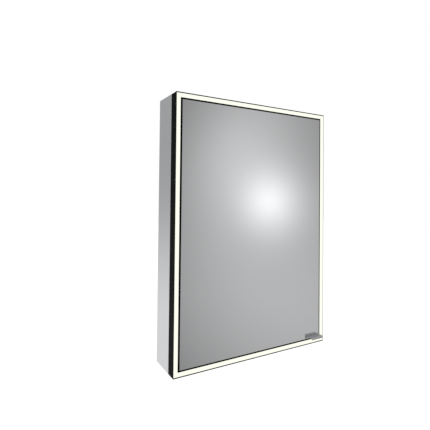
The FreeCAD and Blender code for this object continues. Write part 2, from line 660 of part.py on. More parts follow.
# Corner keys lie in the front and rear chambers of the carcass profiles.
chambers = [("0 - %s + skin + slack" % CARCASS_DEEP, "0 - web_front - skin / 2 - slack"),
            ("0 - web_rear + skin / 2 + slack", "0 - skin - slack")]
corner_keys = [corner_angle(cx, cz, depth, "skin + slack", "wall - skin - slack", "key_arm")
               for cx, cz in CORNERS for depth in chambers]
node("corner_keys", cut(separate(corner_keys), plate_screws))

# ---------------------------------------------------------------- catch, bumpers and switch

DOOR_BACK_FACE = "(%s + rear_glass)" % DOOR_REAR
CATCH_Z = "(%s - %s + catch_level)" % (MIDDLE, INNER_Z)
CATCH_LEFT = "(%s - catch_wide)" % INNER_X
CATCH_FRONT = "(%s + catch_gap)" % DOOR_BACK_FACE
catch_box = slab((CATCH_LEFT, INNER_X), (CATCH_FRONT, "0 - catch_rear"),
                 (CATCH_Z + " - catch_rise", CATCH_Z + " + catch_rise"))
magnet_room = slab((CATCH_LEFT + " + 2", INNER_X + " - 2.6"), (CATCH_FRONT, "0 - magnet_rear"),
                   (CATCH_Z + " - magnet_rise", CATCH_Z + " + magnet_rise"))
CATCH_SCREWS = [(CATCH_LEFT, "0 - 66", "%s + %d" % (CATCH_Z, lift)) for lift in (-14, 14)]
catch_screws = node("catch_screws", separate([
    countersunk(spot, *PLATE_SCREW, 14.2, "X") for spot in CATCH_SCREWS]))
node("catch_magnet", slab((CATCH_LEFT + " + 2.1", INNER_X + " - 2.7"),
                          (CATCH_FRONT + " + 0.2", "0 - magnet_rear - slack"),
                          (CATCH_Z + " - magnet_rise + slack", CATCH_Z + " + magnet_rise - slack")))
node("catch_case", cut(cut(catch_box, magnet_room), catch_screws))

BUMPER_X = "(%s - bumper_in)" % INNER_X
BUMPER_FRONT = "(%s + 0.3)" % DOOR_BACK_FACE
BUMPER_LONG = "0 - bracket_front - " + BUMPER_FRONT
bumpers, bumper_brackets = [], []
for sign in (-1, 1):
    level = "(%s + %d * (%s - bumper_level))" % (MIDDLE, sign, INNER_Z)
    bumpers.append(rod((BUMPER_X, BUMPER_FRONT, level), "bumper_radius", BUMPER_LONG, "Y"))
    bumper_brackets.append(slab((BUMPER_X + " - bumper_in", INNER_X), ("0 - bracket_front", "0 - bracket_rear"),
                                (level + " - 6", level + " + 6")))
node("door_bumpers", separate(bumpers))
node("bumper_brackets", separate(bumper_brackets))

# The carcass and the light frame, with the holes of everything that is screwed into them.
carcass_screws = separate([frame_screws, panel_screws, plate_screws, catch_screws])
for side, length, angle, place in SIDES:
    name = side + ("_panel" if length == "width" else "_side_panel")
    node(name, cut(panels[side], carcass_screws))
    node("light_frame_" + side, cut(frames[side], frame_screws))

SWITCH_Y = "(0 - switch_at)"
SWITCH_Z = "(%s - %s + switch_level)" % (MIDDLE, INNER_Z)
SWITCH_X = "(%s - switch_pivot)" % INNER_X
switch_block = slab(("%s - switch_wide" % INNER_X, INNER_X),
                    (SWITCH_Y + " - switch_wide", SWITCH_Y + " + switch_wide"),
                    (SWITCH_Z + " - switch_rise", SWITCH_Z + " + switch_rise"))
switch_room = slab(("%s - switch_wide - 1" % INNER_X, "%s - 1.5" % INNER_X),
                   (SWITCH_Y + " - switch_wide + 2", SWITCH_Y + " + switch_wide - 2"),
                   (SWITCH_Z + " - switch_rise + 2", SWITCH_Z + " + switch_rise - 2"))
switch_bore = rod((SWITCH_X, SWITCH_Y + " - switch_wide + 0.6", SWITCH_Z),
                  "trunnion + 0.05", "2 * switch_wide - 1.2", "Y")
node("switch_case", cut(cut(switch_block, switch_room), switch_bore))

# The rocker's section, across the cabinet and up: its face is a shallow V, and it rests tilted.
ROCKER_REST = 8
rocker_section = [("0 - 4.5", "0"), ("0 - 7", "17.5"), ("3", "16"), ("3", "0 - 16"), ("0 - 7", "0 - 17.5")]
rocker = profile("Rocker", [rocker_section], "2 * switch_wide - 4.8", "XZ_Plane")
rocker = seat(rocker, (SWITCH_X, SWITCH_Y, SWITCH_Z), turn("Y", ROCKER_REST))
trunnions = rod((SWITCH_X, SWITCH_Y + " - switch_wide + 1", SWITCH_Z), "trunnion", "2 * switch_wide - 2", "Y")
node("switch_rocker", fuse([rocker, trunnions]))

# ---------------------------------------------------------------- door

DOOR_LIMITS = ("0 - " + DOOR_X, DOOR_X)
DOOR_HEIGHT = ("%s - %s" % (MIDDLE, DOOR_Z), "%s + %s" % (MIDDLE, DOOR_Z))
node("door_mirror_front", slab(DOOR_LIMITS, (DOOR_FRONT, DOOR_CORE), DOOR_HEIGHT))
BAR_X = "(%s - bar_inset)" % DOOR_X
BAR_Z = "(%s - bar_inset)" % DOOR_Z
BAR_LOW, BAR_HIGH = "%s - %s" % (MIDDLE, BAR_Z), "%s + %s" % (MIDDLE, BAR_Z)
RAIL_X = "(%s - bar_wide)" % BAR_X
node("door_mirror_rear", slab(("0 - " + BAR_X, BAR_X), (DOOR_REAR, DOOR_BACK_FACE), (BAR_LOW, BAR_HIGH)))


def tube(x, z, along):
    """A hollow member of the door's frame, open at its ends."""
    inner_x, inner_z = [("%s - %s" % (low, grow), "%s + %s" % (high, grow))
                        for low, high, grow in ((*x, "1" if along == "X" else "(0 - bar_skin)"),
                                                (*z, "1" if along == "Z" else "(0 - bar_skin)"))]
    return cut(slab(x, (DOOR_CORE, DOOR_REAR), z),
               slab(inner_x, (DOOR_CORE + " + bar_skin", DOOR_REAR + " - bar_skin"), inner_z))


node("door_stile_left", tube(("0 - " + BAR_X, "0 - " + RAIL_X), (BAR_LOW, BAR_HIGH), "Z"))
node("door_stile_right", tube((RAIL_X, BAR_X), (BAR_LOW, BAR_HIGH), "Z"))
node("door_rail_bottom", tube(("0 - " + RAIL_X, RAIL_X), (BAR_LOW, BAR_LOW + " + bar_wide"), "X"))
node("door_rail_top", tube(("0 - " + RAIL_X, RAIL_X), (BAR_HIGH + " - bar_wide", BAR_HIGH), "X"))
node("door_core_panel", slab(("0 - %s + 0.5" % RAIL_X, "%s - 0.5" % RAIL_X), (DOOR_CORE, DOOR_REAR),
                             ("%s + bar_wide + 0.5" % BAR_LOW, "%s - bar_wide - 0.5" % BAR_HIGH)))

# What lies inside the hollow members clears their walls by a little.
INSIDE = "(bar_skin + 0.05)"
CHANNEL = ("%s + %s" % (DOOR_CORE, INSIDE), "%s - %s" % (DOOR_REAR, INSIDE))
keys, plugs, blocks, bushes, bores = [], [], [], [], []


def reach(sign, near, far):
    """Two levels, at distances inside the lower (-1) or upper (1) end of the door's frame, lowest first."""
    levels = ["%s + %d * (%s - (%s))" % (MIDDLE, sign, BAR_Z, distance) for distance in (near, far)]
    return levels if sign < 0 else levels[::-1]


for sign in (-1, 1):
    for side in (-1, 1):
        x = ["%d * %s" % (side, RAIL_X), "%d * (%s - block_long)" % (side, RAIL_X)]
        keys.append(slab(x if side < 0 else x[::-1], CHANNEL, reach(sign, INSIDE, "bar_wide - %s" % INSIDE)))
    stile_x = ("%s + %s" % (RAIL_X, INSIDE), "%s - %s" % (BAR_X, INSIDE))
    plugs.append(fuse([slab(stile_x, CHANNEL, reach(sign, "0", "plug_long")),
                       slab((RAIL_X, BAR_X), (DOOR_CORE, DOOR_REAR), reach(sign, "0 - plug_cap", "0"))]))
    block_x = ("0 - %s + %s" % (BAR_X, INSIDE), "0 - %s - %s" % (RAIL_X, INSIDE))
    blocks.append(slab(block_x, CHANNEL, reach(sign, "0", "block_long")))
    low = reach(sign, "0 - bush_proud", "bush_long")[0]
    bores.append(rod((PIVOT_X, PIVOT_Y, low), "bush_radius", "bush_long + bush_proud", "Z"))
    bushes.append(cut(rod((PIVOT_X, PIVOT_Y, low), "bush_radius", "bush_long + bush_proud", "Z"),
                      rod((PIVOT_X, PIVOT_Y, "%s - 1" % low), "bush_bore", "bush_long + bush_proud + 2", "Z")))
node("door_rail_keys", separate(keys))
node("door_stile_plugs", separate(plugs))
node("pivot_blocks", cut(separate(blocks), separate(bores)))
node("pivot_bushes", separate(bushes))
node("strike_plate", slab(("%s - 11.5" % INNER_X, "%s - 5" % INNER_X),
                          (DOOR_BACK_FACE, DOOR_BACK_FACE + " + strike_thick"),
                          (CATCH_Z + " - magnet_rise - 1", CATCH_Z + " + magnet_rise + 1")))

# Finger pull: a flange on the glass, a level top and a nose turned down, with a slanted left end.
pull_section = [("0", "0"), ("0", "0 - handle_base"), ("0 - handle_skin", "0 - handle_base"),
                ("0 - handle_skin", "0 - handle_skin"), ("handle_skin - handle_out", "0 - handle_skin"),
                ("handle_skin - handle_out", "0 - handle_nose"), ("0 - handle_out", "0 - handle_nose"),
                ("0 - handle_out", "0")]
PULL_LONG = "(handle_right - handle_left)"
pull = profile("Pull", [pull_section], PULL_LONG)
left_end = "(0 - %s / 2)" % PULL_LONG
tip = left_end + " + handle_cut"
slanted = pocket(pull, "XY_Plane", [[(left_end, "0 - handle_skin"), (tip, "0 - handle_out"),
                                     (tip, "0 - handle_out - 1"), (left_end + " - 1", "0 - handle_out - 1"),
                                     (left_end + " - 1", "0 - handle_skin")]])
doc.recompute()
nose_edges = []
for number, edge in enumerate(slanted.Shape.Edges, start=1):
    box = edge.BoundBox
    if box.XLength > 20 and box.YMin < 1 - sheet.get("handle_out") and box.YLength < 0.01:
        nose_edges.append("Edge%d" % number)
rounding = pull.newObject("PartDesign::Fillet", "Rounding")
rounding.Base = (slanted, nose_edges)
rounding.Radius = 0.8
pull.Tip = rounding
HANDLE_Z = MIDDLE + " - handle_top"
node("door_handle", seat(pull, ("(handle_left + handle_right) / 2", DOOR_FRONT + " - tape", HANDLE_Z)))
node("handle_tape", slab(("handle_left + 1", "handle_right - 1"), (DOOR_FRONT + " - tape", DOOR_FRONT),
                         (HANDLE_Z + " - handle_base + 0.5", HANDLE_Z + " - 0.5")))

# ---------------------------------------------------------------- check and write

doc.recompute()
for thing in doc.Objects:
    if "Invalid" in thing.State or "Error" in thing.State:
        raise RuntimeError("%s (%s) did not compute: %s" % (thing.Name, thing.Label, thing.State))
for item in nodes:
    if item.Shape.isNull() or not item.Shape.isValid() or not item.Shape.Solids:
        raise RuntimeError("%s has no valid solid" % item.Label)

os.makedirs("parts", exist_ok=True)
for item in nodes:
    item.Shape.exportStep("parts/%s.step" % item.Label)
print("%d sub-parts written" % len(nodes))
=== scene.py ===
"""Looks of the wall-hung mirror cabinet: materials, fittings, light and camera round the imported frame."""

import json
import math

import bmesh
import bpy
from mathutils import Euler, Matrix, Vector


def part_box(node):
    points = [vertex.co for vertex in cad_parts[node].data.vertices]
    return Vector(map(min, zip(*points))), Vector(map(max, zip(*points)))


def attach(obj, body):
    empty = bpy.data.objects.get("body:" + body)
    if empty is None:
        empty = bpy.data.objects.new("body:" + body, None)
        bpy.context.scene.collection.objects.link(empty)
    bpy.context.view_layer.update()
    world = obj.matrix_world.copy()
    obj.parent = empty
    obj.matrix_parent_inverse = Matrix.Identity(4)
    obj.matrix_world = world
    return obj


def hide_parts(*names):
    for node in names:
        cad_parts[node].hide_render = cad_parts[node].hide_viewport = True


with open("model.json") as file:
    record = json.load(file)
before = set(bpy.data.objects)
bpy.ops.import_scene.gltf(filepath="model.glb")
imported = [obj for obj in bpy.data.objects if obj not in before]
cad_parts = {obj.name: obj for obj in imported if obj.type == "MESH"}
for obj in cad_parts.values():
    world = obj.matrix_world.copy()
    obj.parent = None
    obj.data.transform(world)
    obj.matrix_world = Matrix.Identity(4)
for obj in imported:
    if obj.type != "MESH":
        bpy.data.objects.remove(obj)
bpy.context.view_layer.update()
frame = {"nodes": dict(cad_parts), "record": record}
nodes = frame["nodes"]
slot_of = {part["node"]: part["material_slot"] for part in frame["record"]["subparts"]}

MM = 0.001
X, Y, Z = Vector((1, 0, 0)), Vector((0, 1, 0)), Vector((0, 0, 1))
BLACK, WHITE = (0, 0, 0), (1, 1, 1)

# ---------------------------------------------------------------- places, from the frame

FRONT_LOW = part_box("light_frame_left")[0]
FRONT_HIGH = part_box("light_frame_right")[1]
WIDTH = FRONT_HIGH.x - FRONT_LOW.x
HEIGHT = FRONT_HIGH.z - FRONT_LOW.z
MIDDLE = Vector(((FRONT_LOW.x + FRONT_HIGH.x) / 2, FRONT_LOW.y, (FRONT_LOW.z + FRONT_HIGH.z) / 2))


# ---------------------------------------------------------------- shader helpers

class Nodes:
    """Short calls for building one node tree."""

    # A Mix node has one set of sockets for each type of value, so they are picked by number.
    NUMBER_FIRST, NUMBER_SECOND, NUMBER_RESULT = 2, 3, 0
    COLOUR_FIRST, COLOUR_SECOND, COLOUR_RESULT = 6, 7, 2

    def __init__(self, tree):
        self.tree = tree
        tree.nodes.clear()

    def add(self, kind, **settings):
        node = self.tree.nodes.new(kind)
        for name, value in settings.items():
            setattr(node, name, value)
        return node

    def link(self, source, target):
        self.tree.links.new(source, target)

    def put(self, target, value):
        """Link a socket, or set a plain value."""
        if isinstance(value, bpy.types.NodeSocket):
            self.link(value, target)
        else:
            target.default_value = value

    def math(self, operation, first, second=0.0, clamp=False):
        node = self.add("ShaderNodeMath", operation=operation, use_clamp=clamp)
        self.put(node.inputs[0], first)
        self.put(node.inputs[1], second)
        return node.outputs[0]

    def vector(self, operation, first, second):
        node = self.add("ShaderNodeVectorMath", operation=operation)
        self.put(node.inputs[0], first)
        self.put(node.inputs[1], second)
        return node.outputs["Value"] if operation == "DOT_PRODUCT" else node.outputs[0]

    def place(self):
        """Object coordinates in metres, the same as the frame's."""
        return self.add("ShaderNodeTexCoord").outputs["Object"]

    def split(self, vector):
        """The three parts of a vector."""
        node = self.add("ShaderNodeSeparateXYZ")
        self.link(vector, node.inputs[0])
        return node.outputs

    def stretch(self, vector, scale):
        node = self.add("ShaderNodeMapping")
        node.inputs["Scale"].default_value = scale
        self.link(vector, node.inputs["Vector"])
        return node.outputs[0]

    def noise(self, vector, scale, detail=2.0, rough=0.5):
        node = self.add("ShaderNodeTexNoise")
        self.link(vector, node.inputs["Vector"])
        node.inputs["Scale"].default_value = scale
        node.inputs["Detail"].default_value = detail
        node.inputs["Roughness"].default_value = rough
        return node.outputs["Fac"]

    def cells(self, vector, scale):
        """Cells round scattered points; the node's outputs are their distance and their colour."""
        node = self.add("ShaderNodeTexVoronoi")
        self.link(vector, node.inputs["Vector"])
        node.inputs["Scale"].default_value = scale
        return node.outputs

    def spread(self, value, low, high, start=0.0, end=1.0, kind="LINEAR"):
        """Map start..end to low..high."""
        node = self.add("ShaderNodeMapRange", interpolation_type=kind)
        self.link(value, node.inputs["Value"])
        for label, setting in (("From Min", start), ("From Max", end), ("To Min", low), ("To Max", high)):
            node.inputs[label].default_value = setting
        return node.outputs[0]

    def ramp(self, value, stops):
        """Colours at places along 0..1."""
        node = self.add("ShaderNodeValToRGB")
        self.link(value, node.inputs[0])
        elements = node.color_ramp.elements
        while len(elements) < len(stops):
            elements.new(0.5)
        for element, (place, colour) in zip(elements, stops):
            element.position = place
            element.color = (*colour, 1)
        return node.outputs[0]

    def blend(self, share, first, second):
        """A number between two others."""
        node = self.add("ShaderNodeMix", data_type="FLOAT")
        self.put(node.inputs["Factor"], share)
        self.put(node.inputs[self.NUMBER_FIRST], first)
        self.put(node.inputs[self.NUMBER_SECOND], second)
        return node.outputs[self.NUMBER_RESULT]

    def mix(self, share, first, second):
        """A colour between two others."""
        node = self.add("ShaderNodeMix", data_type="RGBA")
        self.put(node.inputs["Factor"], share)
        for socket, colour in ((self.COLOUR_FIRST, first), (self.COLOUR_SECOND, second)):
            self.put(node.inputs[socket], (*colour, 1) if isinstance(colour, tuple) else colour)
        return node.outputs[self.COLOUR_RESULT]

    def bump(self, heights, strength, distance):
        node = self.add("ShaderNodeBump")
        self.link(heights, node.inputs["Height"])
        node.inputs["Strength"].default_value = strength
        node.inputs["Distance"].default_value = distance
        return node.outputs[0]


def surface(name, **values):
    """A material with one Principled shader; returns the material, its node helper and the shader."""
    material = bpy.data.materials.new(name)
    material.use_nodes = True
    build = Nodes(material.node_tree)
    shader = build.add("ShaderNodeBsdfPrincipled")
    output = build.add("ShaderNodeOutputMaterial")
    build.link(shader.outputs[0], output.inputs[0])
    for label, value in values.items():
        shader.inputs[label.replace("_", " ")].default_value = value
    return material, build, shader


def feed(build, shader, colour, rough, normal=None):
    """Link what varies over a surface: its colour, its roughness and, where it has one, its relief."""
    build.link(colour, shader.inputs["Base Color"])
    build.link(rough, shader.inputs["Roughness"])
    if normal is not None:
        build.link(normal, shader.inputs["Normal"])


def tinted(colour, gain, lift=0.0):
    """The same colour, lighter or darker."""
    return tuple(min(1.0, part * gain + lift) for part in colour)


WEAR_RADIUS, WEAR_GAIN = 0.6 * MM, 2.2


def edge_wear(build):
    """A mask that is 1 on sharp outer edges, from the difference between bevelled and true normals."""
    bevelled = build.add("ShaderNodeBevel", samples=4)
    bevelled.inputs["Radius"].default_value = WEAR_RADIUS
    geometry = build.add("ShaderNodeNewGeometry")
    same = build.vector("DOT_PRODUCT", bevelled.outputs[0], geometry.outputs["Normal"])
    return build.math("MULTIPLY", build.math("SUBTRACT", 1.0, same), WEAR_GAIN, clamp=True)


def off_centre(build, centre):
    """The distances of a surface point from a centre, across and up."""
    parts = build.split(build.place())
    distances = []
    for axis in (0, 2):
        distances.append(build.math("ABSOLUTE", build.math("SUBTRACT", parts[axis], centre[axis])))
    return distances


# ---------------------------------------------------------------- materials

def anodised(name, colour, rough, grain, metallic=1.0, along=(1, 1, 1), wear=0.25, specular=0.5):
    """Anodised or brushed metal: fine grain, soft blotches of tone and roughness, and brighter edges."""
    material, build, shader = surface(name, Metallic=metallic, Specular_IOR_Level=specular)
    place = build.place()
    fine = build.noise(build.stretch(place, along), scale=grain, detail=3.0)
    blotch = build.spread(build.noise(place, scale=9.0), -0.02, 0.02)
    tone = build.math("ADD", build.spread(fine, -0.035, 0.035), blotch)
    base = build.mix(build.math("ADD", 0.5, tone), tinted(colour, 0.9), tinted(colour, 1.1))
    base = build.mix(build.math("MULTIPLY", edge_wear(build), wear), base, tinted(colour, 1.25, lift=0.02))
    patchy = build.math("ADD", build.spread(fine, rough - 0.04, rough + 0.04), blotch)
    feed(build, shader, base, patchy, build.bump(fine, strength=0.06, distance=0.02 * MM))
    return material


def moulded(name, colour, rough, grain=2600.0, depth=0.05, specular=0.5):
    """Injection-moulded plastic: eroded texture, depth mm deep, faint flow marks, and edges a little worn."""
    material, build, shader = surface(name, Specular_IOR_Level=specular)
    place = build.place()
    fine = build.noise(place, scale=grain)
    flow = build.noise(build.stretch(place, (1, 1, 0.3)), scale=30.0, detail=3.0)
    base = build.mix(flow, tinted(colour, 0.93), tinted(colour, 1.05))
    base = build.mix(build.math("MULTIPLY", edge_wear(build), 0.3), base, tinted(colour, 1.2, lift=0.03))
    feed(build, shader, base, build.spread(flow, rough - 0.05, rough + 0.05),
         build.bump(fine, strength=0.25, distance=depth * MM))
    return material


def rubbery(name, colour, rough, clear=0.0):
    """Silicone or foam: a fine pebbled skin with dust on it."""
    material, build, shader = surface(name, Transmission_Weight=clear, IOR=1.42)
    place = build.place()
    dust = build.noise(place, scale=300.0, detail=4.0)
    pebbles = build.noise(place, scale=1500.0)
    feed(build, shader, build.mix(dust, colour, tinted(colour, 1.15, lift=0.01)),
         build.spread(dust, rough - 0.08, rough + 0.08),
         build.bump(pebbles, strength=0.15, distance=0.04 * MM))
    return material


def silvered(name):
    """The silvered face of a float-glass mirror, with the faintest haze."""
    material, build, shader = surface(name, Metallic=1.0)
    haze = build.noise(build.place(), scale=6.0, detail=5.0, rough=0.65)
    feed(build, shader, build.mix(haze, (0.945, 0.946, 0.947), (0.96, 0.961, 0.962)),
         build.spread(haze, 0.0, 0.012))
    return material


def glass_edge(name):
    """Ground and polished edge of float glass, a dark green-grey."""
    material, build, shader = surface(name, IOR=1.52, Specular_IOR_Level=0.1)
    streak = build.noise(build.stretch(build.place(), (1, 6, 1)), scale=120.0, detail=3.0)
    feed(build, shader, build.mix(streak, (0.010, 0.015, 0.013), (0.016, 0.023, 0.020)),
         build.spread(streak, 0.12, 0.3))
    return material


def backing(name):
    """Grey paint rolled on the back of a mirror."""
    material, build, shader = surface(name)
    roller = build.noise(build.place(), scale=90.0, detail=5.0)
    feed(build, shader, build.mix(roller, (0.16, 0.17, 0.175), (0.21, 0.22, 0.225)),
         build.spread(roller, 0.5, 0.65), build.bump(roller, strength=0.2, distance=0.05 * MM))
    return material


def clear_glass(name):
    """Clear float glass, faintly green, with a little haze on it."""
    material, build, shader = surface(name, IOR=1.52, Transmission_Weight=1.0)
    haze = build.noise(build.place(), scale=14.0, detail=4.0)
    feed(build, shader, build.mix(haze, (0.93, 0.985, 0.965), (0.95, 0.99, 0.975)),
         build.spread(haze, 0.0, 0.02))
    return material


def shelf_edge(name):
    """Ground edge of a glass shelf, where the light comes out green."""
    material, build, shader = surface(name, IOR=1.52, Transmission_Weight=0.55)
    streak = build.noise(build.stretch(build.place(), (0.2, 1, 6)), scale=400.0, detail=3.0)
    feed(build, shader, build.mix(streak, (0.28, 0.50, 0.43), (0.42, 0.66, 0.59)),
         build.spread(streak, 0.1, 0.3), build.bump(streak, strength=0.1, distance=0.02 * MM))
    return material


def galvanised(name):
    """Zinc on steel: crystals of differing grey and sheen, fine scratches, and bright worn edges."""
    material, build, shader = surface(name, Metallic=1.0)
    place = build.place()
    crystals = build.cells(build.stretch(place, (1, 1, 1.6)), scale=170.0)
    tone = build.add("ShaderNodeSeparateColor")
    build.link(crystals["Color"], tone.inputs[0])
    scratch = build.noise(build.stretch(place, (0.3, 4, 4)), scale=800.0, detail=4.0)
    share = build.math("ADD", build.math("MULTIPLY", tone.outputs[0], 0.7),
                       build.math("MULTIPLY", scratch, 0.3))
    base = build.mix(share, (0.50, 0.52, 0.55), (0.70, 0.72, 0.745))
    base = build.mix(build.math("MULTIPLY", edge_wear(build), 0.3), base, (0.86, 0.87, 0.88))
    feed(build, shader, base, build.spread(share, 0.27, 0.45),
         build.bump(share, strength=0.08, distance=0.03 * MM))
    return material


def rating_label(name, low, high):
    """A satin film label between two corners, with a printed grey border, two rules and no words."""
    material, build, shader = surface(name, Specular_IOR_Level=0.4)
    fibre = build.noise(build.place(), scale=1800.0, detail=3.0)
    centre, half = (low + high) / 2, (high - low) / 2
    distances = off_centre(build, centre)
    across = build.math("DIVIDE", distances[0], half.x)
    up = build.math("DIVIDE", distances[1], half.z)
    border = build.ramp(build.math("MAXIMUM", across, up),
                        [(0.0, BLACK), (0.86, BLACK), (0.87, WHITE), (0.90, WHITE), (0.91, BLACK)])
    rules = build.ramp(up, [(0.0, BLACK), (0.30, BLACK), (0.32, WHITE), (0.35, WHITE), (0.37, BLACK)])
    inside = build.math("LESS_THAN", across, 0.80)
    printed = build.math("MAXIMUM", border, build.math("MULTIPLY", rules, inside))
    film = build.mix(fibre, (0.68, 0.69, 0.70), (0.76, 0.77, 0.775))
    feed(build, shader, build.mix(printed, film, (0.14, 0.15, 0.16)), build.spread(fibre, 0.28, 0.4),
         build.bump(fibre, strength=0.1, distance=0.01 * MM))
    return material


# The lit band is warm white, with a faint ripple at the light chips' pitch, and painted shade beside the
# metal.
BAND_LIGHT = (0.985, 1.0, 0.868)
RIPPLE_LOW, RIPPLE_HIGH, PAINTED_SHADE_BESIDE_METAL = 0.9945, 0.9972, 0.03
CHIP_PITCH = 25 * MM


def opal(name):
    """Opal acrylic lit from inside. The band runs along the middle of the light frame's profiles."""
    material, build, shader = surface(name, Roughness=0.45, Specular_IOR_Level=0.2)
    shader.inputs["Base Color"].default_value = (0.03, 0.03, 0.028, 1)
    cloud = build.noise(build.place(), scale=25.0, detail=3.0)
    across, up = off_centre(build, MIDDLE)
    ripples = []
    for distance in (across, up):
        ripples.append(build.math("COSINE", build.math("MULTIPLY", distance, 2 * math.pi / CHIP_PITCH)))
    glow = build.math("ADD", build.math("ADD", *ripples), build.spread(cloud, -1.0, 1.0))
    profile_low, profile_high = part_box("light_frame_left")
    half_band = (profile_high.x - profile_low.x) / 2
    beside = build.math("MAXIMUM", build.math("SUBTRACT", across, WIDTH / 2 - half_band),
                        build.math("SUBTRACT", up, HEIGHT / 2 - half_band))
    edge = build.math("DIVIDE", build.math("ABSOLUTE", beside), half_band)
    # Painted shade: the glow is taken down towards the profile's edges, where the metal lips would shade it.
    painted_lip_shade = build.ramp(edge, [(0.0, BLACK), (0.55, BLACK), (1.0, WHITE)])
    share = build.math("SUBTRACT", build.spread(glow, RIPPLE_LOW, RIPPLE_HIGH),
                       build.math("MULTIPLY", painted_lip_shade, PAINTED_SHADE_BESIDE_METAL))
    build.link(build.mix(share, BLACK, BAND_LIGHT), shader.inputs["Emission Color"])
    shader.inputs["Emission Strength"].default_value = 1.0
    return material


def circuit(name, colour, spot):
    """A circuit board: solder mask or tape with small spots of bare metal."""
    material, build, shader = surface(name)
    cells = build.cells(build.place(), scale=350.0)
    spots = build.ramp(cells["Distance"], [(0.0, WHITE), (0.25, WHITE), (0.3, BLACK), (1.0, BLACK)])
    feed(build, shader, build.mix(spots, colour, spot), build.spread(cells["Distance"], 0.25, 0.45))
    return material


# What makes each of the record's material slots, and with which values.
FINISHES = {
    "anodised_aluminium": (anodised, dict(colour=(0.86, 0.87, 0.875), rough=0.3, grain=900.0,
                                          along=(1, 4, 0.15))),
    "black_aluminium": (anodised, dict(colour=(0.0058, 0.0058, 0.0062), rough=0.45, grain=1400.0,
                                       metallic=0.0, wear=0.0, specular=0.015)),
    "opal_acrylic": (opal, {}),
    "shelf_glass": (clear_glass, {}),
    "zinc_steel": (galvanised, {}),
    "painted_sheet": (moulded, dict(colour=(0.70, 0.71, 0.72), rough=0.45, grain=900.0, depth=0.08)),
    "stainless": (anodised, dict(colour=(0.62, 0.62, 0.63), rough=0.24, grain=1200.0, along=(8, 8, 0.4))),
    "handle_metal": (anodised, dict(colour=(0.305, 0.307, 0.313), rough=0.36, grain=1500.0, metallic=0.15,
                                    along=(0.2, 4, 4), wear=0.2)),
    "honeycomb": (moulded, dict(colour=(0.10, 0.10, 0.11), rough=0.7)),
    "black_steel": (anodised, dict(colour=(0.012, 0.012, 0.013), rough=0.42, grain=700.0, metallic=0.0,
                                   wear=0.02, specular=0.06)),
    "black_acetal": (moulded, dict(colour=(0.02, 0.02, 0.021), rough=0.35, specular=0.2)),
    "grey_plastic": (moulded, dict(colour=(0.42, 0.43, 0.45), rough=0.5)),
    "white_plastic": (moulded, dict(colour=(0.80, 0.80, 0.79), rough=0.3, depth=0.02)),
    "black_plastic": (moulded, dict(colour=(0.025, 0.025, 0.027), rough=0.5)),
    "silicone": (rubbery, dict(colour=(0.75, 0.77, 0.78), rough=0.35, clear=0.5)),
    "foam_tape": (rubbery, dict(colour=(0.03, 0.03, 0.032), rough=0.85)),
    "green_board": (circuit, dict(colour=(0.015, 0.10, 0.045), spot=(0.55, 0.45, 0.2))),
    "light_tape": (circuit, dict(colour=(0.86, 0.85, 0.80), spot=(0.6, 0.5, 0.25))),
    "led_lens": (moulded, dict(colour=(0.85, 0.72, 0.25), rough=0.2)),
    "brass": (anodised, dict(colour=(0.75, 0.55, 0.24), rough=0.3, grain=400.0)),
    "magnet": (moulded, dict(colour=(0.06, 0.06, 0.065), rough=0.6)),
}
LOOKS = {slot: make(slot, **values) for slot, (make, values) in FINISHES.items()}
MIRROR_LOOKS = (silvered("mirror_silver"), glass_edge("mirror_edge"), backing("mirror_backing"))
SHELF_LOOKS = (LOOKS["shelf_glass"], shelf_edge("shelf_edge"))

# The width in millimetres that is taken off the arrises of each finish.
ARRISES = {"anodised_aluminium": 0.4, "black_aluminium": 0.25, "handle_metal": 0.35,
           "grey_plastic": 0.8, "white_plastic": 0.6, "black_plastic": 0.6,
           "shelf_glass": 0.5, "stainless": 0.2, "zinc_steel": 0.3}
SHARP_ANGLE = math.radians(50)
SQUARE_ON = 0.9


def paint(piece, *materials):
    """Give a piece these materials in place of its own."""
    piece.data.materials.clear()
    for material in materials:
        piece.data.materials.append(material)


def bevel(piece, width):
    """Take off a piece's sharp arrises."""
    modifier = piece.modifiers.new("arris", "BEVEL")
    modifier.width = width
    modifier.segments = 2
    modifier.limit_method = "ANGLE"
    modifier.angle_limit = SHARP_ANGLE
    modifier.use_clamp_overlap = True


def dress_mirror(piece, silver_way):
    """Silver on the faces that look along silver_way times +Y, paint on the back, and ground edges."""
    paint(piece, *MIRROR_LOOKS)
    silver, edge, back = range(3)
    for face in piece.data.polygons:
        along = face.normal.y * silver_way
        face.material_index = edge
        if along > SQUARE_ON:
            face.material_index = silver
        if along < -SQUARE_ON:
            face.material_index = back


def dress_shelf(piece):
    """Clear above and below, green at the ground edges."""
    paint(piece, *SHELF_LOOKS)
    for face in piece.data.polygons:
        face.material_index = 0 if abs(face.normal.z) > SQUARE_ON else 1


for name, piece in nodes.items():
    slot = slot_of[name]
    if slot == "mirror_glass":
        dress_mirror(piece, 1 if name == "door_mirror_rear" else -1)
    elif slot == "shelf_glass":
        dress_shelf(piece)
    else:
        paint(piece, LOOKS[slot])
    if slot in ARRISES:
        bevel(piece, ARRISES[slot] * MM)


# ---------------------------------------------------------------- fittings, finer than the frame's

SEGMENTS = 48
WELD = 0.001 * MM
SMOOTH_ANGLE = math.radians(30)


def solids(name):
    """The lowest and highest corner of each separate solid in a node of the frame."""
    work = bmesh.new()
    work.from_mesh(nodes[name].data)
    bmesh.ops.remove_doubles(work, verts=work.verts, dist=WELD)
    boxes, seen = [], set()
    for first in work.verts:
        if first in seen:
            continue
        seen.add(first)
        waiting, places = [first], []
        while waiting:
            vertex = waiting.pop()
            places.append(vertex.co.copy())
            for edge in vertex.link_edges:
                other = edge.other_vert(vertex)
                if other not in seen:
                    seen.add(other)
                    waiting.append(other)
        boxes.append([Vector(pick(values) for values in zip(*places)) for pick in (min, max)])
    work.free()
    return boxes


# The outlines of turned rings: the reach at an angle, as a share of the ring's radius.

def circle(angle):
    """The full radius at every angle."""
    return 1.0


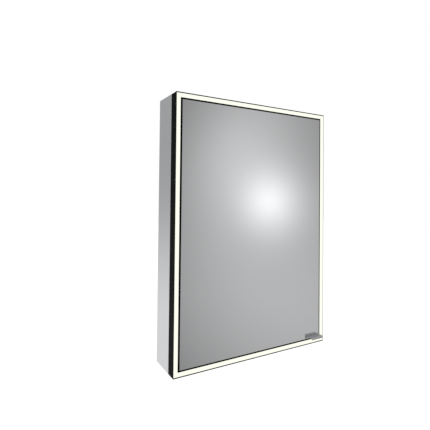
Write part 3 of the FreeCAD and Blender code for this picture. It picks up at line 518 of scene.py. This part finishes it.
def hexagon(angle):
    """Six flats, with the full radius at the corners between them."""
    return math.cos(math.pi / 6) / math.cos(angle % (math.pi / 3) - math.pi / 6)


def knurl(angle):
    """Sixteen shallow flutes."""
    return 0.97 + 0.03 * math.cos(16 * angle)


def cross(angle):
    """The four arms of a cross recess."""
    return 0.36 + 0.64 * abs(math.cos(2 * angle)) ** 4


def turned(work, origin, axis, rings, hollow=False):
    """Add stacked rings about an axis, the last joined to the first where the piece is hollow.

    A ring is its place along the axis, its radius and its outline.
    """
    facing = axis.to_track_quat("Z", "Y").to_matrix()
    loops = []
    for along, radius, outline in rings:
        loop = []
        for step in range(SEGMENTS):
            angle = 2 * math.pi * step / SEGMENTS
            reach = radius * outline(angle)
            spot = Vector((reach * math.cos(angle), reach * math.sin(angle), along))
            loop.append(work.verts.new(origin + facing @ spot))
        loops.append(loop)
    pairs = list(zip(loops, loops[1:]))
    if hollow:
        pairs.append((loops[-1], loops[0]))
    for low, high in pairs:
        for step in range(SEGMENTS):
            after = (step + 1) % SEGMENTS
            work.faces.new((low[step], low[after], high[after], high[step]))
    if not hollow:
        work.faces.new(reversed(loops[0]))
        work.faces.new(loops[-1])


def slab(work, low, high):
    """Add a plain block, which the piece's bevel then rounds."""
    place = Matrix.Translation((low + high) / 2) @ Matrix.Diagonal((*(high - low), 1))
    bmesh.ops.create_cube(work, size=1.0, matrix=place)


def finished(work, name, slot, replaced=None, material=None, body="cabinet"):
    """Make the piece, give it its material, and hang it on its body."""
    bmesh.ops.recalc_face_normals(work, faces=work.faces)
    mesh = bpy.data.meshes.new(name)
    work.to_mesh(mesh)
    work.free()
    mesh.shade_smooth()
    mesh.set_sharp_from_angle(angle=SMOOTH_ANGLE)
    piece = bpy.data.objects.new(name, mesh)
    bpy.context.scene.collection.objects.link(piece)
    paint(piece, material or LOOKS[slot])
    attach(piece, body)
    if replaced:
        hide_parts(replaced)
    return piece


# Each kind of screw and the way its heads look; the pivot plates' look towards the cabinet's middle.
SCREWS = {"frame_screws": -Y, "panel_screws": -Y, "hanger_screws": -Y, "box_screws": -Y,
          "catch_screws": -X, "pivot_plate_screws": None}
# A screw's sizes: shares of its head's radius,
SHANK, HEAD_TOP, RECESS_WIDE, RECESS_FLOOR = 0.54, 0.96, 0.62, 0.341
# shares of its shank's radius,
CORE, POINT_WIDE, POINT_LONG, RECESS_DEEP = 0.78, 0.15, 1.2, 0.75
# and lengths.
THREAD, HEAD_RIM = 1.0 * MM, 0.15 * MM


def screw(work, head_at, towards, head, length):
    """A threaded screw with a countersunk head and a cross recess; towards is the way the head looks."""
    shank, core = SHANK * head, CORE * SHANK * head
    point, neck = POINT_LONG * shank, length - (head - shank)
    rings = [(0, POINT_WIDE * shank, circle), (point, core, circle)]
    for turn in range(int((neck - point) / THREAD)):
        start = point + turn * THREAD
        for share, radius in ((0.35, core), (0.6, shank), (0.85, core)):
            rings.append((start + share * THREAD, radius, circle))
    rings += [(neck, shank, circle), (length - HEAD_RIM, head, circle), (length, HEAD_TOP * head, circle),
              (length, RECESS_WIDE * head, cross),
              (length - RECESS_DEEP * shank, RECESS_FLOOR * head, cross)]
    turned(work, head_at - towards * length, towards, rings)


def screws(name, facing):
    """Put a shaped screw in the place of each of a node's solids."""
    work = bmesh.new()
    for low, high in solids(name):
        centre, size = (low + high) / 2, high - low
        towards = facing or (Z if centre.z < MIDDLE.z else -Z)
        length = abs(size.dot(towards))
        screw(work, centre + towards * length / 2, towards, min(size) / 2, length)
    finished(work, name + "_threaded", slot_of[name], name)


def bumpers():
    """Soft domed stops with a ring round the foot."""
    work = bmesh.new()
    for low, high in solids("door_bumpers"):
        centre, size = (low + high) / 2, high - low
        foot, length = size.x / 2, size.y
        body, crown = 0.9 * foot, 0.06 * foot
        foot_top, body_foot = 0.18 * length, 0.24 * length
        dome = min(foot, 0.6 * length)
        rings = [(0, foot, circle), (foot_top, foot, circle), (body_foot, body, circle),
                 (length - dome, body, circle)]
        for degrees in range(10, 90, 10):
            lift = math.radians(degrees)
            rings.append((length - dome + dome * math.sin(lift), body * math.cos(lift), circle))
        rings.append((length, crown, circle))
        turned(work, Vector((centre.x, high.y, centre.z)), -Y, rings)
    finished(work, "door_bumpers_domed", slot_of["door_bumpers"], "door_bumpers")


def gland():
    """A cable gland: hexagon nut inside the box, and a knurled collar on the wall side."""
    low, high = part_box("cable_gland")
    centre, outside, length = (low + high) / 2, (high.x - low.x) / 2, high.y - low.y
    bore, neck, corner, crown, mouth = (share * outside for share in (0.53, 0.8, 0.97, 0.86, 0.64))
    chamfer, nut, collar, shoulder, throat = (share * length for share in (0.04, 0.28, 0.57, 0.9, 0.92))
    rings = [(0, bore, circle), (0, corner, hexagon), (chamfer, outside, hexagon), (nut, outside, hexagon),
             (nut, neck, circle), (collar, neck, circle), (collar, outside, knurl),
             (shoulder, outside, knurl), (length, crown, circle), (length, mouth, circle),
             (throat, bore, circle)]
    work = bmesh.new()
    turned(work, Vector((centre.x, low.y, centre.z)), Y, rings, hollow=True)
    finished(work, "cable_gland_turned", slot_of["cable_gland"], "cable_gland")


# Added pieces are sunk this far into the wall that they stand on.
SUNK = 0.1 * MM


def driver_details():
    """Cooling ribs and a blank rating label on the wall side of the driver's case."""
    low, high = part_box("driver_case")
    ear, margin = 17 * MM, 6 * MM
    rib, rib_pitch, rib_height = 1.6 * MM, 4.8 * MM, 1.2 * MM
    label_width, label_height = 58 * MM, 0.15 * MM
    left, right = low.x + ear + margin, high.x - ear - margin
    bottom, top, foot = low.z + margin, high.z - margin, high.y - SUNK
    label_left = right - label_width
    work = bmesh.new()
    rib_left = left
    while rib_left + rib < label_left - margin:
        slab(work, Vector((rib_left, foot, bottom)), Vector((rib_left + rib, high.y + rib_height, top)))
        rib_left += rib_pitch
    bevel(finished(work, "driver_ribs", slot_of["driver_case"]), 0.5 * MM)
    label_low, label_high = Vector((label_left, foot, bottom)), Vector((right, high.y + label_height, top))
    work = bmesh.new()
    slab(work, label_low, label_high)
    label = rating_label("rating_label", label_low, label_high)
    bevel(finished(work, "driver_label", "white_plastic", material=label), 0.1 * MM)


def junction_details():
    """A raised rim and two knock-outs on the wall side of the junction box."""
    low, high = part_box("junction_box")
    ear, inset, rim, rim_height = 14 * MM, 1.2 * MM, 2.4 * MM, 0.9 * MM
    ring_outside, ring_inside, ring_height = 7 * MM, 6 * MM, 0.5 * MM
    ring_apart, ring_down = 17 * MM, 14 * MM
    left, right = low.x + ear + inset, high.x - ear - inset
    bottom, top = low.z + inset, high.z - inset
    foot, back = high.y - SUNK, high.y + rim_height
    work = bmesh.new()
    for corner, far in (((left, bottom), (right, bottom + rim)),
                        ((left, top - rim), (right, top)),
                        ((left, bottom + rim), (left + rim, top - rim)),
                        ((right - rim, bottom + rim), (right, top - rim))):
        slab(work, Vector((corner[0], foot, corner[1])), Vector((far[0], back, far[1])))
    rings = [(0, ring_outside, circle), (ring_height, ring_outside, circle),
             (ring_height, ring_inside, circle), (0, ring_inside, circle)]
    for side in (-1, 1):
        spot = Vector(((left + right) / 2 + side * ring_apart, foot, top - ring_down))
        turned(work, spot, Y, rings, hollow=True)
    bevel(finished(work, "junction_rim", slot_of["junction_box"]), 0.2 * MM)


for name, facing in SCREWS.items():
    screws(name, facing)
bumpers()
gland()
driver_details()
junction_details()


# ---------------------------------------------------------------- studio

# What the mirrors show in front of the cabinet is a grey room, a little brighter upwards, with soft glows.
# ROOM_GREY, ROOM_UPWARDS and the first three glows weren't set by hand: another program fitted them, by
# least squares, to the brightness of the mirror in the photograph.
ROOM_GREY, ROOM_UPWARDS, ROOM_DARKEST = 0.142, 0.217, 0.12
LAMP_AT = (0.621, 0, -0.012)
# Each glow has its direction, how narrow it is across and up, and its strength.
GLOWS = (((0.552, 0, 0.115), (7.29, 0, 4.62), 0.31),     # above the lamp
         ((0.625, 0, -0.30), (2.77, 0, 2.74), 0.39),     # wide and low
         (LAMP_AT, (15.7, 0, 11.4), 0.435),              # the lamp's halo
         (LAMP_AT, (32, 0, 27), 0.05))                   # the lamp
# To the left the room is grey above and pale below.
LEFT_ABOVE, LEFT_BELOW = 0.37, 0.76
ROOM_TINT = (0.995, 1.0, 1.012)


def lobe(build, direction, centre, narrow, strength):
    """A soft round glow in the surroundings: strength * exp(-|narrow * (direction - centre)|^2)."""
    offset = build.vector("MULTIPLY", build.vector("SUBTRACT", direction, centre), narrow)
    square = build.vector("DOT_PRODUCT", offset, offset)
    return build.math("MULTIPLY", build.math("EXPONENT", build.math("MULTIPLY", square, -1.0)), strength)


def surroundings():
    """White to the camera and on matt surfaces, and a grey studio with one soft lamp in reflections."""
    world = bpy.data.worlds.new("studio")
    bpy.context.scene.world = world
    world.use_nodes = True
    build = Nodes(world.node_tree)
    direction = build.add("ShaderNodeTexCoord").outputs["Generated"]
    parts = build.split(direction)
    across, up = parts[0], parts[2]
    front = build.math("ADD", ROOM_GREY, build.math("MULTIPLY", up, ROOM_UPWARDS))
    for centre, narrow, strength in GLOWS:
        front = build.math("ADD", front, lobe(build, direction, centre, narrow, strength))
    front = build.math("MAXIMUM", front, ROOM_DARKEST)
    left = build.spread(up, LEFT_ABOVE, LEFT_BELOW, start=0.05, end=-0.33, kind="SMOOTHSTEP")
    turn = build.spread(across, 0.0, 1.0, start=-0.15, end=0.30, kind="SMOOTHSTEP")
    room = build.blend(turn, left, front)
    tint = build.add("ShaderNodeCombineColor")
    for socket, share in zip(tint.inputs, ROOM_TINT):
        build.link(build.math("MULTIPLY", room, share), socket)
    rays = build.add("ShaderNodeLightPath")
    seen = build.mix(rays.outputs["Is Glossy Ray"], WHITE, tint.outputs[0])
    background = build.add("ShaderNodeBackground")
    build.link(seen, background.inputs[0])
    output = build.add("ShaderNodeOutputWorld")
    build.link(background.outputs[0], output.inputs[0])


LAMP_ANGLE, LAMP_STRENGTH = math.radians(60), 0.5


def overhead_lamp():
    """A soft lamp from straight above. It brightens the floor and doesn't show in the mirrors."""
    data = bpy.data.lights.new("overhead_lamp", "SUN")
    data.angle = LAMP_ANGLE
    data.energy = LAMP_STRENGTH
    lamp = bpy.data.objects.new("overhead_lamp", data)
    lamp.visible_glossy = False
    lamp.visible_camera = False
    bpy.context.scene.collection.objects.link(lamp)


FLOOR_REACH, FLOOR_DROP = 14.0, 0.75


def floor():
    """A pale floor, well below the hung cabinet."""
    mesh = bpy.data.meshes.new("floor")
    level = FRONT_LOW.z - FLOOR_DROP
    corners = [(x * FLOOR_REACH, y * FLOOR_REACH, level) for x, y in ((-1, -1), (1, -1), (1, 1), (-1, 1))]
    mesh.from_pydata(corners, [], [(0, 1, 2, 3)])
    piece = bpy.data.objects.new("floor", mesh)
    bpy.context.scene.collection.objects.link(piece)
    material, build, shader = surface("floor_white", Roughness=0.9, Specular_IOR_Level=0.0)
    mottle = build.noise(build.place(), scale=3.0, detail=4.0)
    build.link(build.mix(mottle, (0.93, 0.93, 0.93), (0.95, 0.95, 0.95)), shader.inputs["Base Color"])
    paint(piece, material)
    piece.visible_glossy = False


# The camera stands to the left of the cabinet, a little above its middle, and looks nearly level. Its place,
# angles and lens were solved from the photograph's straight edges; its shift was then set by trial.
CAMERA_OFFSET = Vector((-0.6001, -0.8109, 0.0925))
CAMERA_PITCH, CAMERA_ROLL, CAMERA_TURN = math.radians(1.10), math.radians(0.58), math.radians(-29.62)
CAMERA_LENS, CAMERA_SENSOR, CAMERA_SHIFT = 30.18, 36.0, -0.0590


def camera():
    """The view at rest."""
    data = bpy.data.cameras.new("camera")
    data.lens = CAMERA_LENS
    data.sensor_width = CAMERA_SENSOR
    data.shift_y = CAMERA_SHIFT
    data.clip_start = 0.01
    data.clip_end = 100.0
    piece = bpy.data.objects.new("camera", data)
    place = Matrix.Translation(MIDDLE + CAMERA_OFFSET)
    turn = Euler((math.radians(90) + CAMERA_PITCH, 0, CAMERA_TURN)).to_matrix().to_4x4()
    piece.matrix_world = place @ turn @ Matrix.Rotation(CAMERA_ROLL, 4, "Z")
    bpy.context.scene.collection.objects.link(piece)
    bpy.context.scene.camera = piece


surroundings()
overhead_lamp()
floor()
camera()
bpy.context.scene.view_settings.view_transform = "Standard"
